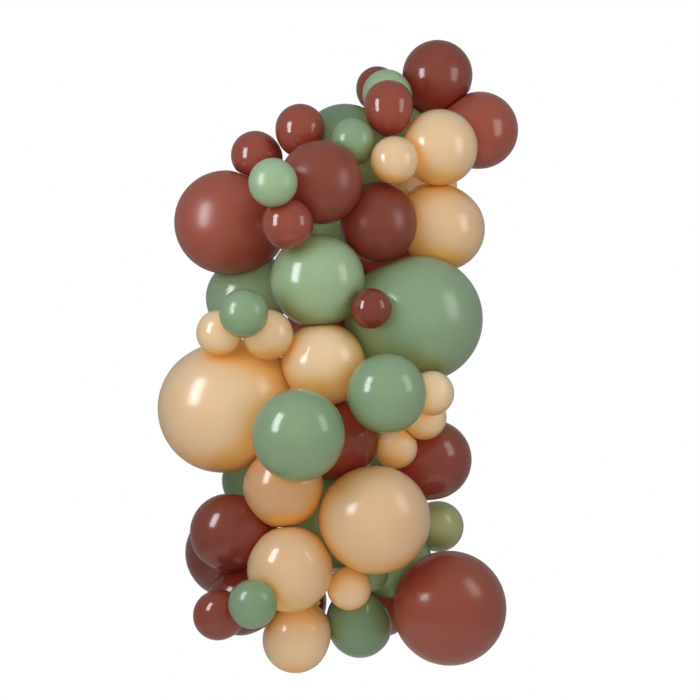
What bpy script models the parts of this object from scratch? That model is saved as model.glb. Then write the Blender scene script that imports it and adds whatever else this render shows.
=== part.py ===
"""Balloon garland: sixty latex balloons in brown, sage green and peach, held against a wall.

Metres, +Z up, +X to the right of someone who looks at the garland. The wall is the plane y = 0
and the garland stands out from it towards -Y. The origin is the pressed flat on the back of the
top sage balloon, where the garland is held.

Each balloon has its place on the wall and is stacked outwards: it comes forward until it rests
on the wall or on the balloons behind it. Where two press together, both get a flat at the plane
that their two skins share.
"""
import math

import bmesh
import bpy
import numpy as np
from mathutils import Vector

# How the balloons meet
GAP = 0.0003  # clear space between two balloons that press together
PRESS = 0.07  # how far two balloons press into each other, as a share of their radii
WALL_PRESS = 0.05  # how far a balloon is pressed flat on the wall, as a share of its radius

# The neck end of a balloon: the half towards the neck is drawn out, and ends in the knot
SMALL_DIAMETER = 0.140  # the small balloons are under this, the middle ones from here
LARGE_DIAMETER = 0.260  # and the large ones from here
STRETCH_SMALL = 1.15  # length of the neck half over the balloon's radius
STRETCH_LARGE = 1.22
STRETCH_LONG = 1.29
KNOT_RADIUS = 0.006
KNOT_LENGTH = 0.012  # how far the knot stands out past the drawn-out half
KNOT_CLEARANCE = 0.004  # space that the knot wants to its neighbours

# Diameter over the crown, then the place of the crown's centre: across and up from the middle of
# the garland's front. The order is from the wall outwards.
BALLOONS = {
    # Against the wall, from the top down
    "brown_02": (0.112, 0.073, 0.703),
    "sage_02": (0.134, 0.144, 0.596),
    "brown_05": (0.204, 0.344, 0.583),
    "brown_01": (0.186, 0.232, 0.729),
    "peach_03": (0.143, 0.214, 0.439),
    "sage_06": (0.160, -0.053, 0.336),
    "brown_08": (0.138, -0.170, 0.408),
    "sage_04": (0.248, -0.013, 0.526),
    "brown_12": (0.170, 0.096, 0.272),
    "sage_08": (0.212, -0.276, 0.138),
    "brown_14": (0.217, -0.058, 0.061),
    "sage_12": (0.139, -0.286, -0.198),
    "sage_15": (0.181, -0.250, -0.346),
    "sage_14": (0.160, 0.075, -0.240),
    "sage_17": (0.135, 0.236, -0.471),
    "brown_22": (0.134, 0.091, -0.697),
    "sage_18": (0.190, 0.122, -0.560),
    "brown_19": (0.194, -0.159, -0.667),
    "brown_18": (0.239, -0.316, -0.535),
    # On those, the upper half
    "sage_01": (0.127, 0.096, 0.672),
    "brown_03": (0.127, 0.099, 0.629),
    "sage_03": (0.114, 0.007, 0.536),
    "brown_04": (0.129, -0.128, 0.570),
    "peach_04": (0.218, 0.243, 0.316),
    "peach_01": (0.198, 0.231, 0.523),
    "brown_09": (0.269, -0.322, 0.332),
    "brown_06": (0.127, -0.246, 0.506),
    "brown_10": (0.197, 0.073, 0.323),
    "sage_10": (0.326, 0.179, 0.080),
    # And the lower half
    "sage_16": (0.256, -0.050, -0.454),
    "brown_16": (0.209, 0.214, -0.287),
    "peach_11": (0.108, 0.119, -0.250),
    "peach_10": (0.115, 0.190, -0.173),
    "brown_15": (0.209, -0.031, -0.229),
    "peach_07": (0.214, -0.068, -0.036),
    "peach_09": (0.330, -0.327, -0.149),
    "peach_06": (0.128, -0.206, 0.038),
    "sage_21": (0.166, 0.026, -0.719),
    "sage_19": (0.101, 0.049, -0.576),
    "peach_16": (0.171, -0.140, -0.747),
    "brown_21": (0.292, 0.255, -0.662),
    "brown_20": (0.172, -0.281, -0.646),
    # In front, from the top down
    "peach_02": (0.123, 0.113, 0.482),
    "brown_07": (0.212, -0.074, 0.423),
    "sage_07": (0.240, -0.082, 0.176),
    "brown_11": (0.129, -0.155, 0.313),
    "sage_05": (0.121, -0.189, 0.411),
    "brown_13": (0.101, 0.054, 0.104),
    "peach_05": (0.117, -0.327, 0.043),
    "sage_09": (0.121, -0.262, 0.090),
    "peach_08": (0.113, 0.206, -0.109),
    "sage_11": (0.198, 0.091, -0.108),
    "peach_15": (0.112, -0.002, -0.606),
    "brown_17": (0.197, -0.309, -0.464),
    "peach_12": (0.204, -0.168, -0.348),
    "sage_13": (0.230, -0.127, -0.209),
    "peach_14": (0.216, -0.151, -0.550),
    "peach_13": (0.271, 0.066, -0.426),
    "brown_23": (0.125, -0.330, -0.663),
    "sage_20": (0.121, -0.239, -0.624),
}
HELD_AT = "sage_04"
LIFTS = {"peach_07": 0.040, "peach_06": 0.030}  # a neck behind holds these so much farther out

# Where a neck points: its bearing, in degrees clockwise from up, and how many degrees it turns
# from there to the wall
NECKS = {
    "brown_02": (195, 0), "brown_05": (265, 10), "brown_01": (190, 30), "peach_03": (270, 0),
    "brown_12": (225, -20), "sage_08": (45, 0), "sage_17": (270, 20), "brown_19": (330, 0),
    "brown_03": (180, 0), "brown_04": (180, 10), "brown_09": (105, 30), "brown_10": (0, 45),
    "sage_10": (270, 20), "peach_09": (58, 10), "brown_17": (90, 10), "peach_13": (270, 55),
}
LONG_NECKED = ("brown_03", "brown_17")

# These point straight back to the wall, and all the others to the line that the necks are
# gathered on: across and up like the balloons' places, from the top down
POINT_BACK = (
    "peach_01", "peach_07", "peach_06", "brown_21", "peach_02", "brown_07", "sage_07", "brown_11",
    "sage_05", "brown_13", "peach_05", "sage_09", "peach_08", "sage_11", "peach_15", "peach_12",
    "sage_13", "peach_14", "sage_20",
)
LINE = (
    (0.273, 0.650), (0.143, 0.520), (0.000, 0.390), (-0.052, 0.234), (-0.083, 0.052),
    (-0.117, -0.091), (-0.130, -0.208), (-0.078, -0.312), (-0.039, -0.494), (0.000, -0.676),
)
LINE_DEPTH = 0.200  # in front of the wall
LINE_STEPS = 8  # places that a neck can go to on each stretch of the line

# A neck without a bearing may turn this many degrees away to find room
TILTS = (0, 15, 30, 45, 60)
MOST_TILT_BACK = 30  # where it points straight back
TILT_SIDES = 8
TILT_COST = 0.007  # share of its length that a neck gives up rather than turn one degree more

# How finely the balloons are faceted
SEGMENTS = {"small": 8, "middle": 10, "large": 12}
RINGS = {"small": 6, "middle": 7, "large": 8}
RIM_POINTS = {"small": 6, "middle": 7, "large": 8}
RIM_HALVINGS = 40  # how closely a flat's rim is found
KNOT_POINTS = 5
WELD = 0.004  # points of one balloon nearer than this become one
SHARP_ANGLE = math.radians(50)

COLOURS = {"brown": "#8C4A3C", "sage": "#8FB08F", "peach": "#E6C49C"}
ROUGHNESS = 0.28
TO_WALL = np.array((0.0, 1.0, 0.0))


def radius_of(name):
    """Half the diameter over the crown."""
    return BALLOONS[name][0] / 2


def size_of(name):
    """Small, middle or large."""
    diameter = BALLOONS[name][0]
    if diameter < SMALL_DIAMETER:
        return "small"
    return "middle" if diameter < LARGE_DIAMETER else "large"


def stretch_of(name):
    """How long the neck half is over the radius."""
    if name in LONG_NECKED:
        return STRETCH_LONG
    return STRETCH_SMALL if size_of(name) == "small" else STRETCH_LARGE


def full_length(name):
    """From the crown's centre to the knot's end, with nothing in the way."""
    return radius_of(name) * stretch_of(name) + KNOT_LENGTH


def stacked():
    """The centre of each balloon, brought forward until it rests on what is behind it."""
    centres = {}
    for name, (diameter, across, up) in BALLOONS.items():
        depth = diameter / 2 * (1 - WALL_PRESS)
        for other, centre in centres.items():
            both = diameter / 2 + radius_of(other)
            apart = math.hypot(across - centre[0], up - centre[2])
            if apart < both:
                rest = (both * (1 - PRESS)) ** 2 - apart ** 2
                depth = max(depth, -centre[1] + math.sqrt(max(rest, 0)))
        centres[name] = np.array((across, -depth - LIFTS.get(name, 0), up))
    return centres


def skin_along(direction, axis, radius, stretch):
    """How far the skin is from the centre in a direction: a sphere, drawn out towards the neck."""
    lean = max(float(direction @ axis), 0)
    return radius / math.sqrt(1 + lean ** 2 * (1 / stretch ** 2 - 1))


def shared_planes(centres, axes=None):
    """For each balloon, the planes that bound it: each a direction and a distance from its centre.

    With the necks' axes known, a pair shares the plane by how far each skin reaches to the other.
    """
    planes = {name: [(TO_WALL, -centre[1])] for name, centre in centres.items()}
    names = list(centres)
    for i, first in enumerate(names):
        for second in names[i + 1:]:
            apart = centres[second] - centres[first]
            distance = np.linalg.norm(apart)
            if distance > full_length(first) + full_length(second) + 2 * KNOT_CLEARANCE:
                continue
            towards = apart / distance
            near, far = radius_of(first), radius_of(second)
            if axes:
                near = skin_along(towards, axes[first], near, stretch_of(first))
                far = skin_along(-towards, axes[second], far, stretch_of(second))
            differ = (near ** 2 - far ** 2) / distance
            planes[first].append((towards, (distance + differ - GAP) / 2))
            planes[second].append((-towards, (distance - differ - GAP) / 2))
    return planes


def two_across(axis):
    """Two directions at right angles to the axis and to each other."""
    start = np.eye(3)[np.argmin(np.abs(axis))]
    first = np.cross(axis, start)
    first /= np.linalg.norm(first)
    return first, np.cross(axis, first)


def way_to_line(centre):
    """The direction from a centre to the nearest place on the line of the necks."""
    best = None
    for (x0, z0), (x1, z1) in zip(LINE, LINE[1:]):
        for share in np.linspace(0, 1, LINE_STEPS + 1):
            point = np.array((x0 + share * (x1 - x0), -LINE_DEPTH, z0 + share * (z1 - z0)))
            apart = point - centre
            if best is None or np.linalg.norm(apart) < np.linalg.norm(best):
                best = apart
    return best / np.linalg.norm(best)


def wanted_neck(name, centre):
    """Where the neck would point with nothing in its way, and how far it may turn from there."""
    if name in NECKS:
        bearing, back = (math.radians(angle) for angle in NECKS[name])
        flat = np.array((math.sin(bearing), 0, math.cos(bearing)))
        return flat * math.cos(back) + TO_WALL * math.sin(back), 0
    if name in POINT_BACK:
        return TO_WALL, MOST_TILT_BACK
    return way_to_line(centre), max(TILTS)


def room_along(axis, planes):
    """How far the neck can go along the axis before it meets a bounding plane."""
    room = math.inf
    for towards, distance in planes:
        lean = float(towards @ axis)
        if lean > 0:
            room = min(room, (distance - KNOT_CLEARANCE - KNOT_RADIUS * (1 - lean)) / lean)
    return room


def neck_of(name, centre, planes):
    """The neck's direction, turned from the wanted one only where that gains room."""
    wanted, most = wanted_neck(name, centre)
    length = full_length(name)
    side, other = two_across(wanted)
    best, chosen = -math.inf, wanted
    for tilt in TILTS:
        if tilt > most:
            continue
        lean = math.radians(tilt)
        for k in range(TILT_SIDES):
            turn = 2 * math.pi * k / TILT_SIDES
            across = side * math.cos(turn) + other * math.sin(turn)
            axis = wanted * math.cos(lean) + across * math.sin(lean)
            room = min(length, room_along(axis, planes))
            worth = room / length - TILT_COST * tilt
            if worth > best:
                best, chosen = worth, axis
    return chosen


def reach_of_skin(points, axis, radius, stretch):
    """Each point's size on a scale where 1 is the skin: a sphere, drawn out towards the neck."""
    along = points @ axis
    squared = (points ** 2).sum(axis=-1)
    drawn = np.where(along > 0, along ** 2 * (1 / stretch ** 2 - 1), 0)
    return np.sqrt(squared + drawn) / radius


def skin_towards(direction, axis, radius, stretch):
    """The skin's farthest point in a direction."""
    lean = float(direction @ axis)
    if lean <= 0:
        return direction * radius
    drawn = direction + (stretch ** 2 - 1) * lean * axis
    return drawn * radius / math.sqrt(1 + (stretch ** 2 - 1) * lean ** 2)


def rim_points(plane, planes, axis, radius, stretch, count):
    """Points round the flat that a plane cuts, drawn in where another flat crosses it."""
    towards, distance = plane
    farthest = skin_towards(towards, axis, radius, stretch)
    if distance >= farthest @ towards:
        return []
    middle = farthest * distance / float(farthest @ towards)
    side, other = two_across(towards)
    points = []
    for k in range(count):
        turn = 2 * math.pi * k / count
        way = side * math.cos(turn) + other * math.sin(turn)
        near, far = 0.0, 2 * radius
        for _ in range(RIM_HALVINGS):
            half = (near + far) / 2
            if reach_of_skin(middle + half * way, axis, radius, stretch) < 1:
                near = half
            else:
                far = half
        for across, limit in planes:
            lean = float(across @ way)
            if across is not towards and lean > 0:
                near = min(near, (limit - float(across @ middle)) / lean)
        if near > 0:
            points.append(middle + near * way)
    return points


def balloon_points(name, axis, planes):
    """The corners of one balloon about its centre, in the garland's directions."""
    radius, stretch, size = radius_of(name), stretch_of(name), size_of(name)
    ball = bmesh.new()
    bmesh.ops.create_uvsphere(ball, u_segments=SEGMENTS[size], v_segments=RINGS[size], radius=1)
    turn = Vector((0, 0, 1)).rotation_difference(Vector(axis))
    ways = np.array([turn @ vertex.co for vertex in ball.verts])
    ball.free()
    skin = ways / reach_of_skin(ways, axis, radius, stretch)[:, None]
    ends = [skin_towards(way, axis, radius, stretch) for way in np.vstack((np.eye(3), -np.eye(3)))]
    side, other = two_across(axis)
    knot_end = min(full_length(name), room_along(axis, planes))
    knot = []
    for k in range(KNOT_POINTS):
        angle = 2 * math.pi * k / KNOT_POINTS
        knot.append(axis * knot_end + KNOT_RADIUS * (side * math.cos(angle) + other * math.sin(angle)))
    rims = []
    for plane in planes:
        rims += rim_points(plane, planes, axis, radius, stretch, RIM_POINTS[size])
    free = []
    for point in [*ends, *skin]:
        if all(towards @ point <= distance for towards, distance in planes):
            free.append(point)
    points = []
    for point in [*knot, *rims, *free]:
        over = max([towards @ point / distance for towards, distance in planes])
        point = point / max(over, 1)
        if all(np.linalg.norm(point - kept) > WELD for kept in points):
            points.append(point)
    return points


def balloon_object(name, points, centre, axis, material, parent, collection):
    """One closed balloon, its own neck along its own -Z, set in place by its object."""
    turn = Vector((0, 0, -1)).rotation_difference(Vector(axis))
    back = turn.inverted()
    shape = bmesh.new()
    for point in points:
        shape.verts.new(back @ Vector(point))
    hull = bmesh.ops.convex_hull(shape, input=shape.verts)
    inner = {part for part in hull["geom_interior"] if isinstance(part, bmesh.types.BMVert)}
    bmesh.ops.delete(shape, geom=list(inner), context="VERTS")
    bmesh.ops.recalc_face_normals(shape, faces=shape.faces)
    mesh = bpy.data.meshes.new(name)
    shape.to_mesh(mesh)
    shape.free()
    mesh.shade_smooth()
    mesh.set_sharp_from_angle(angle=SHARP_ANGLE)
    mesh.materials.append(material)
    piece = bpy.data.objects.new(name, mesh)
    piece.rotation_mode = "QUATERNION"
    piece.rotation_quaternion = turn
    piece.location = centre
    piece.parent = parent
    collection.objects.link(piece)


def linear(hex_colour):
    """An sRGB hex value as linear red, green and blue."""
    value = int(hex_colour.lstrip("#"), 16)
    parts = [(value >> shift & 255) / 255 for shift in (16, 8, 0)]
    return [c / 12.92 if c <= 0.04045 else ((c + 0.055) / 1.055) ** 2.4 for c in parts]


def latex(name, hex_colour):
    """Thin rubber, satin on its blown skin."""
    material = bpy.data.materials.new(name)
    material.use_nodes = True
    shader = material.node_tree.nodes["Principled BSDF"]
    shader.inputs["Base Color"].default_value = (*linear(hex_colour), 1)
    shader.inputs["Roughness"].default_value = ROUGHNESS
    shader.inputs["Metallic"].default_value = 0
    return material


def build():
    """The sixty balloons under one empty, with the origin at the back of the held one."""
    for old in list(bpy.data.objects):
        bpy.data.objects.remove(old, do_unlink=True)
    collection = bpy.data.collections.new("balloon_garland")
    bpy.context.scene.collection.children.link(collection)
    parent = bpy.data.objects.new("garland", None)
    collection.objects.link(parent)
    materials = {colour: latex(f"latex_{colour}", value) for colour, value in COLOURS.items()}

    centres = stacked()
    loose = shared_planes(centres)
    axes = {name: neck_of(name, centre, loose[name]) for name, centre in centres.items()}
    planes = shared_planes(centres, axes)
    origin = centres[HELD_AT] * (1, 0, 1)
    for name, centre in centres.items():
        points = balloon_points(name, axes[name], planes[name])
        material = materials[name.split("_")[0]]
        balloon_object(name, points, centre - origin, axes[name], material, parent, collection)


build()
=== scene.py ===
"""Looks of the balloon garland: sixty blown latex balloons in brown, sage green and peach.

Each balloon is worked out again as a fine surface from its own CAD node: the node gives the
centre, the size and the way the neck points, and the neighbours give the flats between them.
"""
import math

import bpy
import numpy as np
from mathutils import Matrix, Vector


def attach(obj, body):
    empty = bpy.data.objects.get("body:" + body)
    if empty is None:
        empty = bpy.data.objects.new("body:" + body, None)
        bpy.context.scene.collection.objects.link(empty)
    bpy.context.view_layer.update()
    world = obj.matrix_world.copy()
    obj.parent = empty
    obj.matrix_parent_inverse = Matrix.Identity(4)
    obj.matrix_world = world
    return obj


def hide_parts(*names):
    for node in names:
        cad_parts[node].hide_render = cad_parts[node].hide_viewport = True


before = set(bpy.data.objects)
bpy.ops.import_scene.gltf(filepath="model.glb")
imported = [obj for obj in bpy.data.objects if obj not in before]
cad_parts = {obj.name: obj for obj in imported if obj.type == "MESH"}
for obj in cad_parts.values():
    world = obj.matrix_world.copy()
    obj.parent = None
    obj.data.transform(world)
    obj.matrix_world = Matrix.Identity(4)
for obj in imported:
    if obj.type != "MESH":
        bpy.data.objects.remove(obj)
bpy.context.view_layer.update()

# The photograph's view: a level camera five metres in front of the garland's middle plane
PHOTO_MIDDLE = (0.013, -0.526)  # across and up, in the garland's own frame
MIDDLE_DEPTH = 0.2  # of the middle plane, in front of the wall
EYE_DISTANCE = 5.0
VIEW_WIDTH = 1.82  # what the photograph's frame spans on the middle plane
SENSOR = 36.0  # width of the camera's sensor, in millimetres

# How the balloons meet
GAP = 0.0003  # clear space between two balloons that press together
WALL_NORMAL = np.array((0.0, 1.0, 0.0))
LEAST_LEAN = 0.02  # a ray at a flatter angle to a plane isn't stopped by it
FAR_OFF = 10.0  # where such a ray would be stopped instead

# How a balloon is read from its node's corners
FIT_TOLERANCE = 0.00003  # how far a corner may be off a fitted sphere
NECK_TOLERANCE = 4 * FIT_TOLERANCE  # and off a fitted neck half
PAST_SPHERE = 6 * FIT_TOLERANCE  # a corner whose |p|^2 - r^2 is over this times r is on the neck half
LEAST_NECK_CORNERS = 4
SPHERE_TRIES = 700
NECK_TRIES = 500
LEAST_SPREAD = {"sphere": 1e-7, "neck": 1e-9}  # picked corners with less lie too nearly in a plane
REACH_SHARE = 1.35  # a balloon's farthest reach over its radius, with its knot
KNOT_REACH = 0.02

# Balloon sizes, by radius
SMALL_RADIUS = 0.070
LARGE_RADIUS = 0.130

# Grid of each size: steps from the crown to the neck, and round the neck's axis
GRIDS = {"small": (46, 72), "middle": (66, 104), "large": (92, 148)}
ROUNDING = {"small": 0.003, "middle": 0.005, "large": 0.008}  # of the rim of a pressed flat

# Neck and knot, in metres
NECK_RADIUS = 0.0040
NECK_START = 0.34  # angle from the neck's pole where the blown skin runs into the neck
NECK_STEPS = 9
PLEATS = 11
PLEAT_DEPTH = 0.09
# Past the end of the blown skin: how far out, and how wide, over knot and rolled lip
KNOT_PROFILE = (
    (0.0010, 0.0040), (0.0024, 0.0037), (0.0034, 0.0045), (0.0044, 0.0055), (0.0056, 0.0058),
    (0.0068, 0.0053), (0.0076, 0.0040), (0.0084, 0.0034), (0.0094, 0.0041), (0.0104, 0.0053),
    (0.0112, 0.0059), (0.0118, 0.0057), (0.0120, 0.0046), (0.0117, 0.0030),
)
KNOT_ROOM = 0.010  # a neck with less than this past its blown skin is folded in, with no knot to see
KNOT_PLEATS = 0.5  # how deep the knot's pleats are, over the neck's
NECK_PULL = 1.3  # how straight the skin runs out along the neck
NECK_FADE = 6  # the power by which the thicker rubber sets in towards the neck


def linear(hex_colour):
    """An sRGB hex value as linear red, green and blue."""
    value = int(hex_colour.lstrip("#"), 16)
    parts = [(value >> shift & 255) / 255 for shift in (16, 8, 0)]
    return tuple(c / 12.92 if c <= 0.04045 else ((c + 0.055) / 1.055) ** 2.4 for c in parts)


def add_node(tree, kind, settings=None, links=None):
    """Adds a node, sets its properties and inputs by name, and links other nodes' outputs to it."""
    node = tree.nodes.new(kind)
    for name, value in (settings or {}).items():
        if isinstance(name, int) or name in node.inputs:
            node.inputs[name].default_value = value
        else:
            setattr(node, name, value)
    for name, source in (links or {}).items():
        tree.links.new(source, node.inputs[name])
    return node


def mixed(tree, factor, first, second):
    """The output of a colour mix, each side a colour or another node's output."""
    node = add_node(tree, "ShaderNodeMix", {"data_type": "RGBA"}, {"Factor": factor})
    for place, value in ((6, first), (7, second)):
        if isinstance(value, tuple):
            node.inputs[place].default_value = value
        else:
            tree.links.new(value, node.inputs[place])
    return node.outputs[2]


# Balloons read from the CAD nodes

def corners_of(node):
    """A CAD node's corners, each once."""
    points = np.empty(len(node.data.vertices) * 3, np.float32)
    node.data.vertices.foreach_get("co", points)
    return np.unique(np.round(points.reshape(-1, 3).astype(float), 7), axis=0)


def fitted_sphere(points, chance):
    """Centre and radius of the sphere that most corners lie on: the crown half.

    Spheres through four corners picked by chance are tried, |p|^2 = 2 c.p + k with
    k = r^2 - |c|^2, and the best is fitted again to all the corners that lie on it.
    """
    picks = np.array([chance.choice(len(points), 4, replace=False) for _ in range(SPHERE_TRIES)])
    left = np.concatenate((2 * points[picks], np.ones((len(picks), 4, 1))), axis=2)
    right = (points[picks] ** 2).sum(axis=2)
    sound = np.abs(np.linalg.det(left)) > LEAST_SPREAD["sphere"]
    found = np.linalg.solve(left[sound], right[sound][..., None])[..., 0]
    centres = found[:, :3]
    radii = np.sqrt(np.maximum(found[:, 3] + (centres ** 2).sum(axis=1), 0))
    off = np.abs(np.linalg.norm(points[None] - centres[:, None], axis=2) - radii[:, None])
    on = off[(off < FIT_TOLERANCE).sum(axis=1).argmax()] < FIT_TOLERANCE
    rows = np.column_stack((2 * points[on], np.ones(on.sum())))
    best = np.linalg.lstsq(rows, (points[on] ** 2).sum(axis=1), rcond=None)[0]
    return best[:3], math.sqrt(best[3] + best[:3] @ best[:3])


def fitted_neck(points, radius, chance):
    """Direction of the neck and how far the neck half is drawn out.

    A corner on the neck half has |p|^2 - r^2 = (p.a)^2 (1 - 1/k^2), so its root is linear in the
    axis a times a length that gives k. Triples picked by chance are tried, as for the sphere. A
    balloon with its whole neck half pressed in shows no neck, and is taken to point to the wall.
    """
    over = (points ** 2).sum(axis=1) - radius ** 2
    outside = points[over > radius * PAST_SPHERE]
    if len(outside) < LEAST_NECK_CORNERS:
        return WALL_NORMAL, 1.0
    root = np.sqrt((outside ** 2).sum(axis=1) - radius ** 2)
    picks = np.array([chance.choice(len(outside), 3, replace=False) for _ in range(NECK_TRIES)])
    sound = np.abs(np.linalg.det(outside[picks])) > LEAST_SPREAD["neck"]
    tried = np.linalg.solve(outside[picks[sound]], root[picks[sound]][..., None])[..., 0]
    off = np.abs(tried @ outside.T - root)
    on = off[(off < NECK_TOLERANCE).sum(axis=1).argmax()] < NECK_TOLERANCE
    axis = np.linalg.lstsq(outside[on], root[on], rcond=None)[0]
    length = np.linalg.norm(axis)
    return axis / length, 1 / math.sqrt(1 - length ** 2)


class Blown:
    """One balloon as its CAD node has it."""

    def __init__(self, name, node):
        chance = np.random.default_rng(sum(name.encode()))
        points = corners_of(node)
        self.name = name
        self.centre, self.radius = fitted_sphere(points, chance)
        self.axis, self.stretch = fitted_neck(points - self.centre, self.radius, chance)
        self.end = float(((points - self.centre) @ self.axis).max())
        if self.radius < SMALL_RADIUS:
            self.size = "small"
        else:
            self.size = "middle" if self.radius < LARGE_RADIUS else "large"
        self.planes = []
        self.near = []
        self.rubber = 0.0
        self.underside_shade = 0.0

    def reach(self):
        """How far from the centre anything of it can be."""
        return self.radius * REACH_SHARE + KNOT_REACH


def skin_along(balloon, way):
    """How far the skin is from the centre in a direction: a sphere, drawn out towards the neck."""
    lean = max(float(way @ balloon.axis), 0)
    return balloon.radius / math.sqrt(1 + lean ** 2 * (1 / balloon.stretch ** 2 - 1))


def share_flats(balloons):
    """Gives each balloon the planes that bound it.

    Two balloons share the plane where |p - c1|^2 - s1^2 = |p - c2|^2 - s2^2, s being how far
    each skin reaches to the other, and keep half the gap to it each. The wall is one more plane.
    """
    for balloon in balloons:
        balloon.planes.append((WALL_NORMAL, -balloon.centre[1]))
    for i, first in enumerate(balloons):
        for second in balloons[i + 1:]:
            apart = second.centre - first.centre
            distance = np.linalg.norm(apart)
            if distance < first.reach() + second.reach():
                towards = apart / distance
                differ = (skin_along(first, towards) ** 2 - skin_along(second, -towards) ** 2) / distance
                first.near.append(second)
                second.near.append(first)
                first.planes.append((towards, (distance + differ - GAP) / 2))
                second.planes.append((-towards, (distance - differ - GAP) / 2))


# Surfaces

def smooth_least(first, second, width):
    """The lesser of two arrays, with the corner where they cross rounded off inwards."""
    share = np.clip(0.5 + 0.5 * (second - first) / width, 0, 1)
    return second + (first - second) * share - width * share * (1 - share)


def side_directions(axis):
    """Two directions at right angles to the axis and to each other."""
    start = np.eye(3)[np.argmin(np.abs(axis))]
    first = np.cross(axis, start)
    first /= np.linalg.norm(first)
    return first, np.cross(axis, first)


def blown_profile(balloon, steps):
    """Rows of (along the axis, width, pleating) from the crown's pole to the neck or the pole there.

    The crown half is the circle (-r cos t, r sin t), the neck half the ellipse
    (-k r cos t, r sin t). A Hermite curve then runs into the neck, and the knot's profile ends it.
    """
    radius, stretch = balloon.radius, balloon.stretch
    knotted = balloon.end - stretch * radius > KNOT_ROOM
    last = math.pi - NECK_START if knotted else math.pi
    turn = np.linspace(0, last, steps + 1)[1:]
    if not knotted:
        turn = turn[:-1]
    along = -np.cos(turn) * np.where(turn > math.pi / 2, stretch, 1) * radius
    wide = np.sin(turn) * radius
    pleats = np.zeros_like(turn)
    if not knotted:
        return np.column_stack((along, wide, pleats)), stretch * radius
    tip = stretch * radius
    run = np.linspace(0, 1, NECK_STEPS + 1)[1:-1]
    slope = np.array((stretch * radius * math.sin(last), radius * math.cos(last))) * NECK_START
    start = np.array((along[-1], wide[-1]))
    stop = np.array((tip, NECK_RADIUS))
    away = np.array((tip - along[-1], 0)) * NECK_PULL
    curve = (
        np.outer(2 * run ** 3 - 3 * run ** 2 + 1, start) + np.outer(run ** 3 - 2 * run ** 2 + run, slope)
        + np.outer(3 * run ** 2 - 2 * run ** 3, stop) + np.outer(run ** 3 - run ** 2, away)
    )
    knot = np.array(KNOT_PROFILE) + (tip, 0)
    along = np.concatenate((along, curve[:, 0], knot[:, 0]))
    wide = np.concatenate((wide, curve[:, 1], knot[:, 1]))
    growing = np.sin(run * math.pi * 0.5) ** 2 * PLEAT_DEPTH
    folds = np.concatenate((pleats, growing, np.full(len(knot), KNOT_PLEATS * PLEAT_DEPTH)))
    return np.column_stack((along, wide, folds)), knot[-1, 0]


def pressed(points, balloon):
    """Draws points in towards the centre where a neighbour or the wall presses.

    Along each ray the distance is the smooth least of the blown skin's and each plane's
    d / (u.n), which rounds the rim of the flat.
    """
    away = np.linalg.norm(points, axis=-1)
    ways = points / away[..., None]
    distance = away.copy()
    for towards, limit in balloon.planes:
        lean = ways @ towards
        plane = np.where(lean > LEAST_LEAN, limit / np.maximum(lean, LEAST_LEAN), FAR_OFF)
        distance = smooth_least(distance, plane, ROUNDING[balloon.size])
    return ways * distance[..., None]


def hidden_from_light(skin, balloon):
    """How little of the open air each point sees, from 0 to 1.

    A ball of radius r at a distance d, in the direction u, covers (r / d)^2 (n.u) of what a
    point with the normal n sees, and the neighbours' shares are added up. A skin that faces down
    adds its dye's share times the square of how far it faces down. The sum is the mask for painted
    shade: the material mixes a deeper tint in where it is high.
    """
    normals = skin / np.linalg.norm(skin, axis=1)[:, None]
    covered = balloon.underside_shade * np.clip(-normals[:, 2], 0, 1) ** 2
    for other in balloon.near:
        apart = other.centre - balloon.centre - skin
        distance = np.linalg.norm(apart, axis=1)
        facing = np.clip((apart * normals).sum(axis=1) / distance, 0, 1)
        covered += facing * np.minimum(other.radius / distance, 1) ** 2
    return np.clip(covered, 0, 1)


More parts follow.
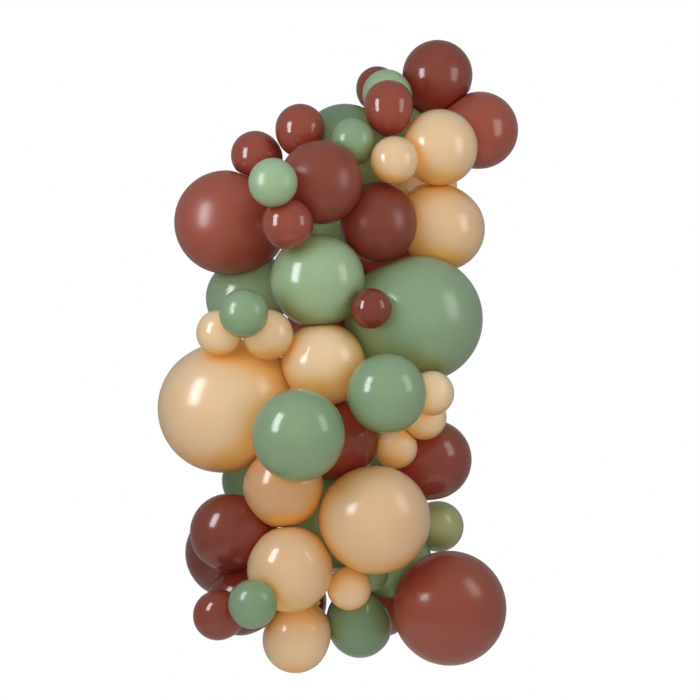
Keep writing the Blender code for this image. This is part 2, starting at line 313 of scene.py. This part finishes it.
def balloon_mesh(balloon):
    """A grid of the profile's rows turned round the axis in even steps, closed at both poles."""
    steps, around = GRIDS[balloon.size]
    profile, end = blown_profile(balloon, steps)
    side, other = side_directions(balloon.axis)
    angle = np.linspace(0, 2 * math.pi, around, endpoint=False)
    wide = profile[:, 1, None] * (1 + profile[:, 2, None] * np.cos(PLEATS * angle))
    ring = np.cos(angle)[:, None] * side + np.sin(angle)[:, None] * other
    rows = profile[:, 0, None, None] * balloon.axis + wide[..., None] * ring
    poles = np.array((-balloon.radius * balloon.axis, end * balloon.axis))
    points = np.vstack((rows.reshape(-1, 3), poles))
    skin = pressed(points, balloon)

    count = len(profile)
    row, column = np.meshgrid(np.arange(count - 1), np.arange(around), indexing="ij")
    following = (column + 1) % around
    quads = np.stack((row * around + column, row * around + following,
                      (row + 1) * around + following, (row + 1) * around + column), axis=-1).reshape(-1, 4)
    step = np.arange(around)
    after = (step + 1) % around
    crown_pole, neck_pole = count * around, count * around + 1
    crown = np.column_stack((np.full(around, crown_pole), after, step))
    base = (count - 1) * around
    neck = np.column_stack((np.full(around, neck_pole), base + step, base + after))
    mesh = bpy.data.meshes.new(balloon.name + "_latex")
    mesh.vertices.add(len(skin))
    mesh.vertices.foreach_set("co", (skin + balloon.centre).astype(np.float32).ravel())
    corners = np.concatenate((quads.ravel(), crown.ravel(), neck.ravel()))
    mesh.loops.add(len(corners))
    mesh.loops.foreach_set("vertex_index", corners.astype(np.int32))
    sizes = np.concatenate((np.full(len(quads), 4), np.full(2 * around, 3)))
    mesh.polygons.add(len(sizes))
    mesh.polygons.foreach_set("loop_start", np.concatenate(((0,), np.cumsum(sizes)[:-1])).astype(np.int32))
    mesh.update(calc_edges=True)
    mesh.validate()
    mesh.shade_smooth()
    # Masks for the material: how hidden from light each point is, for the painted shade tint in crevices
    # and on lower sides, and how thick the rubber is, real by the neck and partly painted shade on some
    # balloons
    hidden = hidden_from_light(skin, balloon)
    neckwards = np.clip((points @ balloon.axis) / (balloon.stretch * balloon.radius), 0, 1)
    rubber = balloon.rubber + (1 - balloon.rubber) * neckwards ** NECK_FADE
    for name, values in (("rubber", rubber), ("crevice", hidden)):
        attribute = mesh.attributes.new(name, "FLOAT", "POINT")
        attribute.data.foreach_set("value", values.astype(np.float32))
    return mesh


# Materials

def latex(name, dye, roughness, seed):
    """Blown natural latex: thin dyed rubber, dipped on a former, with a matt to wet shine.

    To the eye: an even, slightly milky colour. It turns deeper where the rubber is less blown and
    by the neck; the thicker levels are partly painted shade, for balloons that sit in others' shadow.
    Where neighbours hide the open air, and on lower sides, a saturated tint is mixed in: painted
    shade, standing for light that has passed through several walls. Slight mottling of about 70 mm
    is uneven dye.
    """
    thin, thick, shade_tint, bleed = DYES_AND_SHADE_TINTS[dye]
    material = bpy.data.materials.new(name)
    material.use_nodes = True
    tree = material.node_tree
    shader = tree.nodes["Principled BSDF"]
    shader.inputs["Roughness"].default_value = roughness
    shader.inputs["IOR"].default_value = LATEX_IOR
    shader.inputs["Subsurface Weight"].default_value = BLEED_WEIGHT
    shader.inputs["Subsurface Radius"].default_value = bleed
    shader.inputs["Subsurface Scale"].default_value = BLEED_REACH
    place = add_node(tree, "ShaderNodeTexCoord")
    mottling = {"Scale": MOTTLES_PER_METRE, "Detail": 3.0, "Roughness": 0.5, "noise_dimensions": "4D",
                "W": seed}
    mottle = add_node(tree, "ShaderNodeTexNoise", mottling, {"Vector": place.outputs["Object"]})
    # Painted shade: a saturated, deeper tint mixed into the colour where neighbours hide the open air and
    # on lower sides
    crevice = add_node(tree, "ShaderNodeAttribute", {"attribute_name": "crevice"})
    rubber = add_node(tree, "ShaderNodeAttribute", {"attribute_name": "rubber"})
    shade_mapping = {"interpolation_type": "SMOOTHSTEP", "From Min": SHADE_TINT_FROM, "From Max": SHADE_TINT_FULLY,
               "To Max": SHADE_TINT_MOST}
    shade_amount = add_node(tree, "ShaderNodeMapRange", shade_mapping, {"Value": crevice.outputs["Fac"]})
    adding = {"operation": "MULTIPLY_ADD", "use_clamp": True, 1: MOTTLING}
    body = add_node(tree, "ShaderNodeMath", adding, {0: mottle.outputs["Fac"], 2: rubber.outputs["Fac"]})
    # The thin-to-thick mix is partly painted shade, through the per-balloon thickness levels
    skin = mixed(tree, body.outputs[0], (*linear(thin), 1), (*linear(thick), 1))
    shaded_colour = mixed(tree, shade_amount.outputs[0], skin, (*linear(shade_tint), 1))
    tree.links.new(shaded_colour, shader.inputs["Base Color"])
    return material


LATEX_IOR = 1.52
# Light that bleeds through the rubber: its share, and how far it goes, in metres
BLEED_WEIGHT = 0.5
BLEED_REACH = 0.05
# The painted shade tint for crevices and lower sides, by how much of the open air is hidden: where it
# starts, where it is full, and the most of it that a spot takes on
SHADE_TINT_FROM = 0.12
SHADE_TINT_FULLY = 0.85
SHADE_TINT_MOST = 0.75
# Uneven dye: how many spots there are to a metre, and how much thicker they look
MOTTLES_PER_METRE = 14.0
MOTTLING = 0.14
# Each dye: blown thin, left thick, the painted shade tint for crevices and lower sides, and how far red,
# green and blue light bleed, over the reach
DYES_AND_SHADE_TINTS = {
    "brown": ("#A65747", "#6A3024", "#8C3026", (1.0, 0.30, 0.20)),
    "sage": ("#A5C19B", "#56775D", "#85905A", (0.6, 1.0, 0.55)),
    "olive": ("#B3B885", "#707E48", "#7F884C", (0.6, 1.0, 0.3)),
    "peach": ("#F1D7B1", "#C38A58", "#EDB04E", (1.0, 0.6, 0.25)),
}
# Painted shade on lower sides: the share by which a skin that faces down is tinted deeper
UNDERSIDE_SHADE = {"brown": 0.2, "sage": 0.3, "peach": 0.9}  # how hidden a skin that faces down counts as
OLIVE = ("sage_17",)  # the one sage balloon that is yellower
# Roughness of the skin: small balloons shine by their dye, larger ones by size, dusty ones are matt
SHINES = {"wet": 0.11, "glossy": 0.17, "satin": 0.24, "matt": 0.34}
MATT = ("brown_07", "brown_09", "brown_10", "peach_08", "peach_10", "peach_11", "sage_05")
# How thick the rubber was left, from 0, blown to its palest, to 1, where a balloon isn't as usual
USUAL_RUBBER = {"brown": 0.20, "sage": 0.33, "peach": 0.10}
THICKEST = 0.85
THICK = 0.60
FULL = 0.45
FIRM = 0.25
THIN = 0.0
# Partly painted shade: some levels darken a balloon for the shadow it sits in, such as peach_12 under
# sage_13
RUBBER_AND_SHADE = {
    THICKEST: ("brown_18", "brown_19", "brown_20", "sage_12", "sage_14", "sage_15", "sage_16"),
    THICK: ("brown_10", "brown_13", "brown_17", "peach_12", "sage_02", "sage_04", "sage_19", "sage_21"),
    FULL: ("brown_01", "brown_02", "brown_07", "brown_14", "brown_15", "brown_16", "brown_23", "sage_06",
           "sage_18", "sage_20"),
    FIRM: ("peach_04", "peach_13", "peach_14"),
    THIN: ("brown_05", "brown_09", "peach_05", "peach_07", "peach_08", "peach_10", "sage_01", "sage_05",
           "sage_07", "sage_17"),
}
SEED_STEP = 3.7  # from one finish's mottling to the next one's


def shine_of(balloon, colour):
    """The shine of a balloon's skin, by its size and dye."""
    if balloon.name in MATT:
        return "matt"
    if balloon.size == "small":
        return {"brown": "wet", "sage": "satin", "peach": "glossy"}[colour]
    return "glossy" if balloon.size == "middle" else "satin"


# The garland

balloons = [Blown(name, node) for name, node in sorted(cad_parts.items())]
share_flats(balloons)
finishes = {}
for balloon in balloons:
    colour = balloon.name.split("_")[0]
    dye = "olive" if balloon.name in OLIVE else colour
    key = (dye, shine_of(balloon, colour))
    if key not in finishes:
        finishes[key] = latex(f"latex_{dye}_{key[1]}", dye, SHINES[key[1]], len(finishes) * SEED_STEP)
    # Thickness levels, partly painted shade, and the painted shade share for lower sides
    levels = [level for level, names in RUBBER_AND_SHADE.items() if balloon.name in names]
    balloon.rubber = levels[0] if levels else USUAL_RUBBER[colour]
    balloon.underside_shade = UNDERSIDE_SHADE[colour]
    piece = bpy.data.objects.new(balloon.name + "_blown", balloon_mesh(balloon))
    bpy.context.scene.collection.objects.link(piece)
    piece.data.materials.append(finishes[key])
    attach(piece, "root")
    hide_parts(balloon.name)


# Camera, lights and floor

def at_photo(across, up, out):
    """A point given across and up from the photograph's middle, and out from the wall."""
    return Vector((PHOTO_MIDDLE[0] + across, -out, PHOTO_MIDDLE[1] + up))


camera = bpy.data.cameras.new("photo_view")
camera.sensor_width = SENSOR
camera.lens = SENSOR * EYE_DISTANCE / VIEW_WIDTH
eye = bpy.data.objects.new("photo_view", camera)
eye.location = at_photo(0, 0, EYE_DISTANCE + MIDDLE_DEPTH)
eye.rotation_euler = (math.pi / 2, 0, 0)
bpy.context.scene.collection.objects.link(eye)
bpy.context.scene.camera = eye


def softbox(name, place, size, watts, colour, mirrored=False):
    """A studio light of a width and height in metres, which faces the garland.

    It is either mirrored in the skins or lights them.
    """
    light = bpy.data.lights.new(name, "AREA")
    light.shape = "RECTANGLE"
    light.size, light.size_y = size
    light.energy = watts
    light.color = linear(colour)
    box = bpy.data.objects.new(name, light)
    box.location = place
    box.rotation_euler = (at_photo(0, 0, MIDDLE_DEPTH) - place).to_track_quat("-Z", "Y").to_euler()
    box.visible_glossy = mirrored
    box.visible_diffuse = not mirrored
    bpy.context.scene.collection.objects.link(box)
    return light


DAYLIGHT = "#F4F7FF"
WHITE = "#FFFFFF"
SKYLIGHT = "#E6F1FF"
WARM_WHITE = "#FFF8EE"
# Two tall windows are mirrored in every balloon, the left one brighter
softbox("left_window", at_photo(-1.35, 0.62, 1.25), (0.5, 1.2), 24, DAYLIGHT, mirrored=True)
softbox("right_window", at_photo(1.45, 0.60, 1.00), (0.6, 1.1), 6, WHITE, mirrored=True)
# What they and the ceiling throw on the garland
softbox("left_glow", at_photo(-1.5, 0.8, 1.5), (1.0, 1.4), 11, DAYLIGHT)
softbox("right_glow", at_photo(1.5, 0.5, 1.3), (1.0, 1.4), 7, WHITE)
softbox("ceiling", at_photo(0.2, 1.9, 1.3), (2.4, 1.6), 8, SKYLIGHT)
# The rubber is so thin that light comes through one balloon onto the next: this one casts no shadow
front = softbox("front_glow", at_photo(-0.4, 0.3, 4.2), (2.0, 2.0), 70, WARM_WHITE)
front.use_shadow = False
# And soft light from the room behind, for whoever walks round the garland
softbox("back_glow", at_photo(0, 0.5, -4.0), (2.0, 2.0), 40, WARM_WHITE)

# A round floor, painted a matt near-white that glows a little, well below the garland
FLOOR_RADIUS = 1.35
FLOOR_FORWARD = 0.3  # its middle is this far in front of the wall
FLOOR_DOWN = 1.80  # below the origin
FLOOR_SIDES = 96
floor_mesh = bpy.data.meshes.new("floor")
rim = []
for turn in np.linspace(0, 2 * math.pi, FLOOR_SIDES, endpoint=False):
    rim.append((FLOOR_RADIUS * math.cos(turn), FLOOR_RADIUS * math.sin(turn) - FLOOR_FORWARD, -FLOOR_DOWN))
floor_mesh.from_pydata(rim, [], [list(range(FLOOR_SIDES))])
floor = bpy.data.objects.new("floor", floor_mesh)
bpy.context.scene.collection.objects.link(floor)
paint = bpy.data.materials.new("pale_floor")
paint.use_nodes = True
coat = paint.node_tree.nodes["Principled BSDF"].inputs
coat["Base Color"].default_value = (*linear("#F2F0EC"), 1)
coat["Roughness"].default_value = 0.8
coat["Emission Color"].default_value = (1, 1, 1, 1)
coat["Emission Strength"].default_value = 0.12
floor_mesh.materials.append(paint)

# A white studio. The camera sees it bright. Its even light on the garland is cream from below and
# cooler from above, and comes from the front more than from behind, so the rims turn darker
FROM_BELOW = "#FFE6C4"
FROM_ABOVE = "#F0F5FF"
AMBIENT_IN_FRONT = 0.22
AMBIENT_BEHIND = 0.12
FADE = {"From Min": -0.6, "From Max": 0.8}  # of a direction's height or depth, over which both change
ROOM_MIRRORED = 0.35  # how bright the skins mirror the room
ROOM_SEEN = 1.0
world = bpy.data.worlds.new("studio")
bpy.context.scene.world = world
world.use_nodes = True
tree = world.node_tree
ambient = tree.nodes["Background"]
ways = add_node(tree, "ShaderNodeTexCoord")
parts = add_node(tree, "ShaderNodeSeparateXYZ", None, {"Vector": ways.outputs["Generated"]})
height = add_node(tree, "ShaderNodeMapRange", FADE, {"Value": parts.outputs["Z"]})
dimming = {**FADE, "To Min": AMBIENT_IN_FRONT, "To Max": AMBIENT_BEHIND}
depth = add_node(tree, "ShaderNodeMapRange", dimming, {"Value": parts.outputs["Y"]})
tint = mixed(tree, height.outputs[0], (*linear(FROM_BELOW), 1), (*linear(FROM_ABOVE), 1))
tree.links.new(tint, ambient.inputs["Color"])
tree.links.new(depth.outputs[0], ambient.inputs["Strength"])
path = add_node(tree, "ShaderNodeLightPath")
room = ambient.outputs[0]
for ray, strength in (("Is Glossy Ray", ROOM_MIRRORED), ("Is Camera Ray", ROOM_SEEN)):
    white = add_node(tree, "ShaderNodeBackground", {"Strength": strength, "Color": (1, 1, 1, 1)})
    room = add_node(tree, "ShaderNodeMixShader", None,
                    {0: path.outputs[ray], 1: room, 2: white.outputs[0]}).outputs[0]
tree.links.new(room, tree.nodes["World Output"].inputs["Surface"])
bpy.context.scene.view_settings.view_transform = "Standard"
